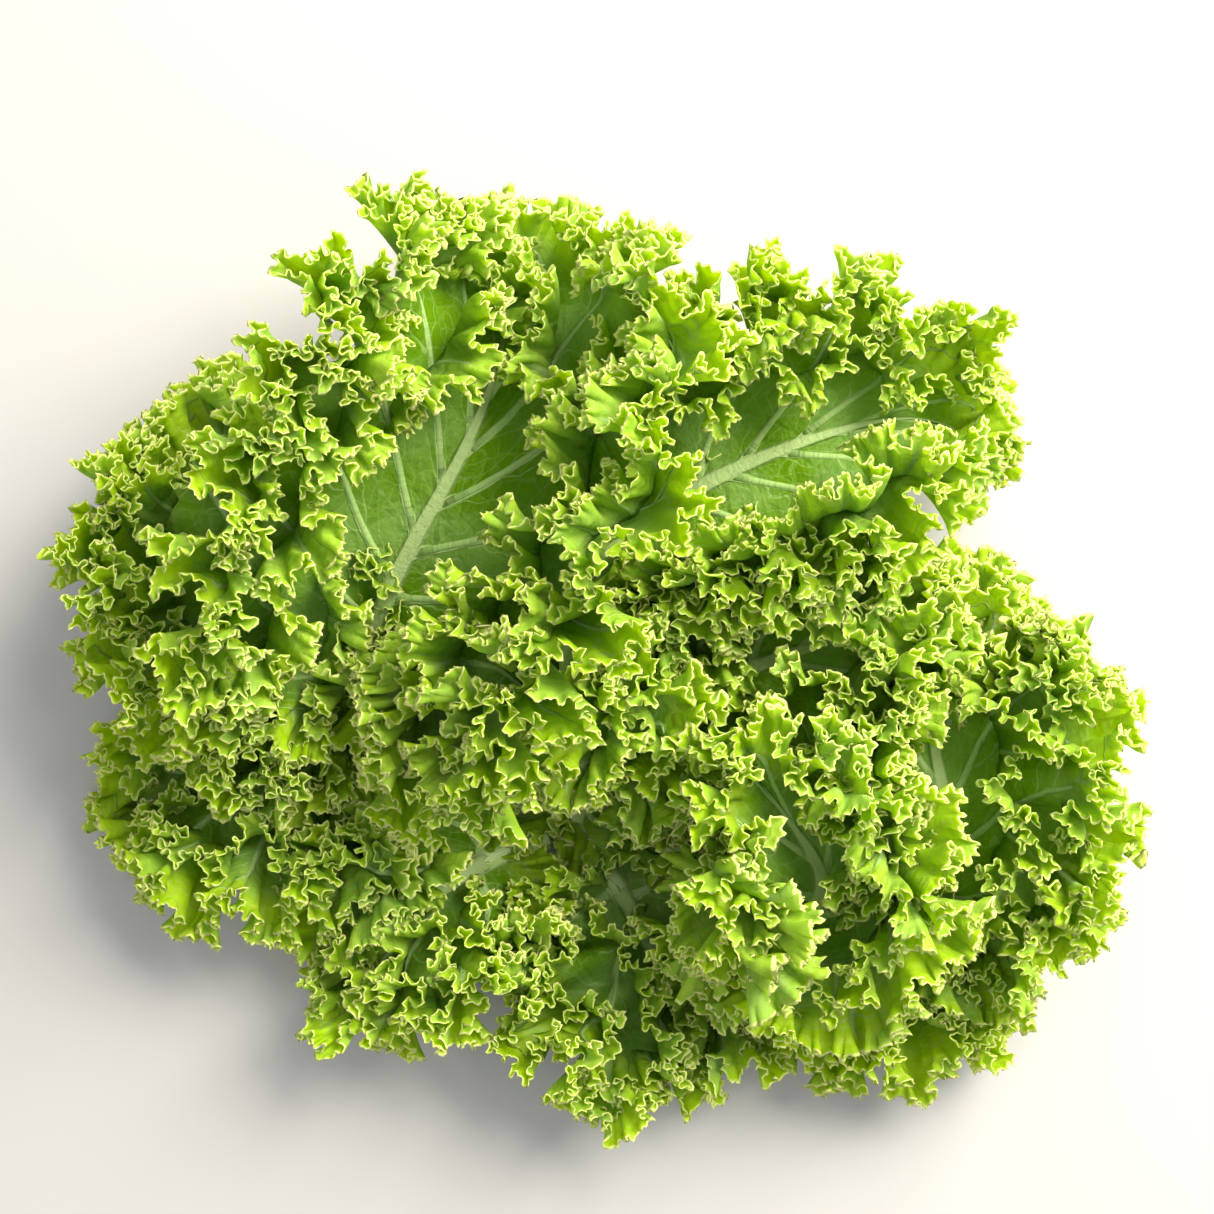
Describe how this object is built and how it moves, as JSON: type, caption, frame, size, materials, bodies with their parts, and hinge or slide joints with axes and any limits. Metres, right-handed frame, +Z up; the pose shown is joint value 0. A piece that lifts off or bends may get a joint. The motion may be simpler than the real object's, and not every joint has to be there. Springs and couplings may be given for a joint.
{
  "type": "kale bunch",
  "caption": "Bunch of curly kale leaves with frilled margins, lying in a loose heap with the cut stalks gathered underneath.",
  "frame": {"origin": "middle of the bunch's footprint, on the surface that it lies on", "axes": "+Z up; +X along the longest side of the footprint; -Y towards the side where the front leaves lie"},
  "size_m": [0.3582, 0.3132, 0.1372],
  "materials": {
    "leaf": "satin"
  },
  "bodies": {
    "root": {"leaf_01_broad": "leaf", "leaf_02_spoon": "leaf", "leaf_03_upright": "leaf", "leaf_04_side": "leaf", "leaf_06_inner": "leaf", "leaf_07_left": "leaf", "leaf_08_low_left": "leaf", "leaf_09_front_left": "leaf", "leaf_10_front": "leaf", "leaf_11_front_right": "leaf", "leaf_05_heart": "leaf", "leaf_12_back": "leaf"}
  },
  "joints": []
}
